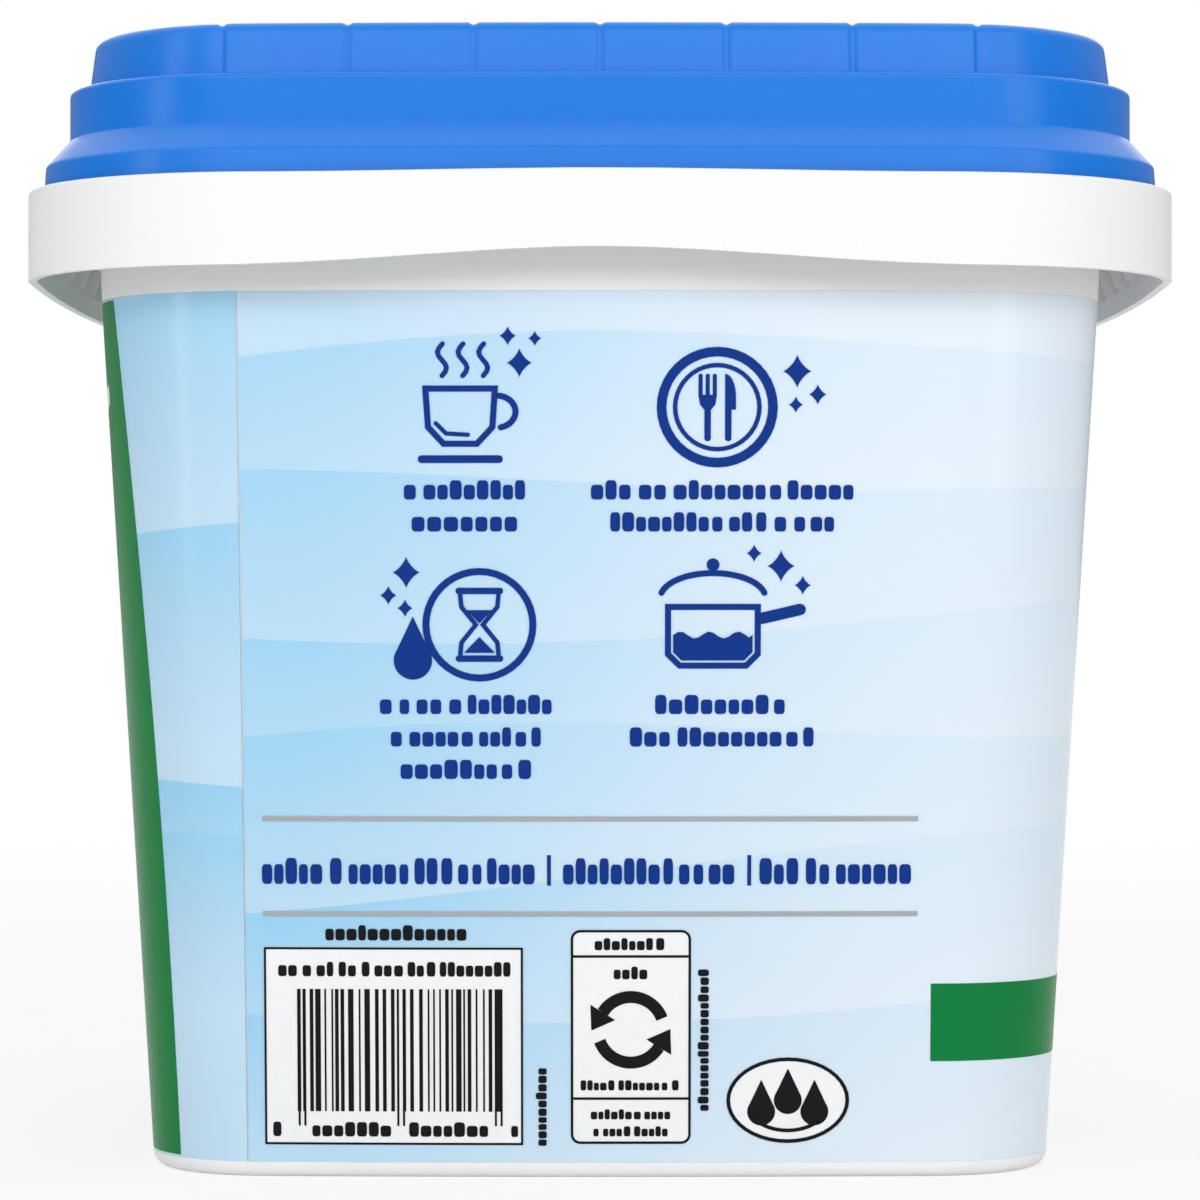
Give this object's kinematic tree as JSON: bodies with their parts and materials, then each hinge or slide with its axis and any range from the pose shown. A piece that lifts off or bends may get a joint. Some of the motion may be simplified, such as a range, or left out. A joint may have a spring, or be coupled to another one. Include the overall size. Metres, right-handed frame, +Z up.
{
  "type": "dishwasher tablet tub",
  "caption": "Square tapered plastic tub with a ribbed collar, a wrap label, a stepped lift-off lid and dishwasher tablets inside.",
  "frame": {"origin": "centre of the foot, on the surface that the tub stands on", "axes": "+Z up out of the tub's mouth; -Y towards the front face with the wash symbols; +X to the right of that face"},
  "size_m": [0.188, 0.188, 0.1815],
  "materials": {
    "tub_plastic": "smooth moulded white polypropylene, satin gloss",
    "label_film": "printed film, satin gloss",
    "lid_plastic": "smooth moulded blue polypropylene, satin gloss",
    "tablet_film": "clear film pouch over pressed powder and gel"
  },
  "bodies": {
    "tub": {"tub": "tub_plastic", "label": "label_film", "tablets": "tablet_film"},
    "lid": {"lid": "lid_plastic"}
  },
  "joints": [
    {"name": "lid_lift", "type": "slide", "parent": "tub", "child": "lid", "axis": [0, 0, 1], "range_m": [0, 0.15]}
  ]
}
